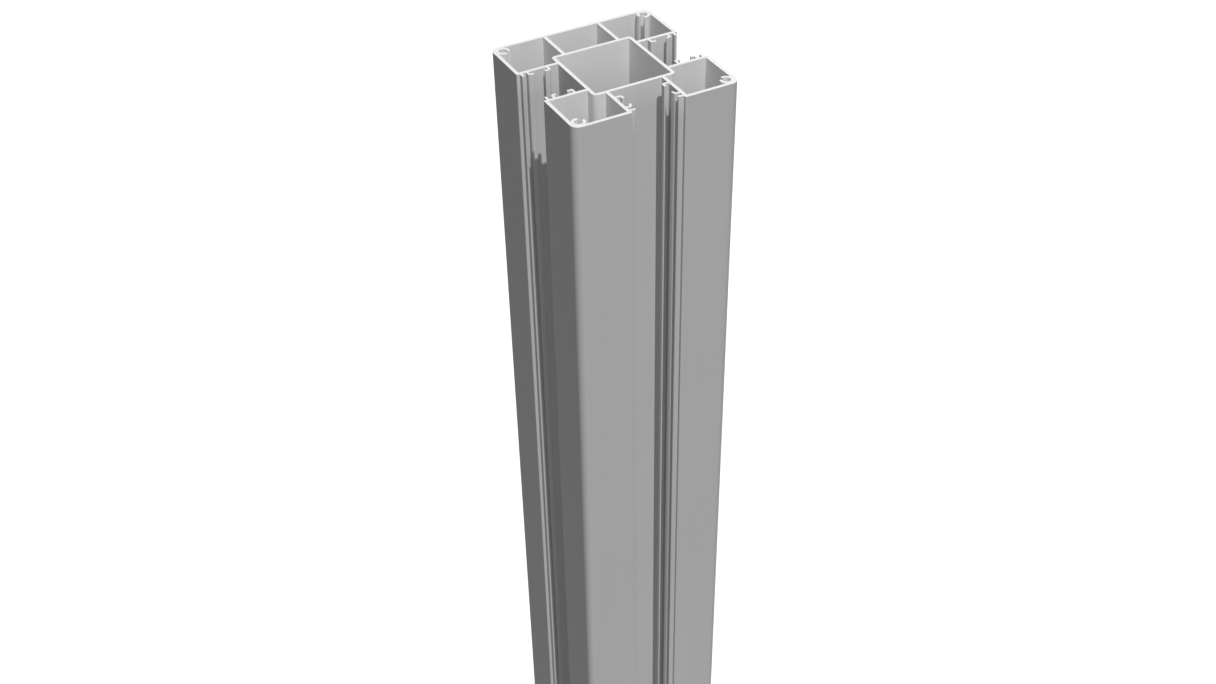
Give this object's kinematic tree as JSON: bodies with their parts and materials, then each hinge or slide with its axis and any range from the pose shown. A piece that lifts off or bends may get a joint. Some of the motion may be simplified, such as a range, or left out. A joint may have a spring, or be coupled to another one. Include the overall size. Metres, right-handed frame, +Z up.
{
  "type": "fence post",
  "caption": "Square extruded aluminium fence post, closed at the back, with hooked panel slots in its other sides, a hollow middle tube and corner screw ports.",
  "frame": {"origin": "middle of the saw-cut lower end, level with the floor", "axes": "+Z up the post's length, -Y out of the front slot, +Y out of the closed back, +X to the right"},
  "size_m": [0.1, 0.1, 1.8],
  "materials": {
    "aluminium": "matte grey anodised sides, bright saw-cut ends"
  },
  "bodies": {
    "root": {"fence_post": "aluminium"}
  },
  "joints": []
}
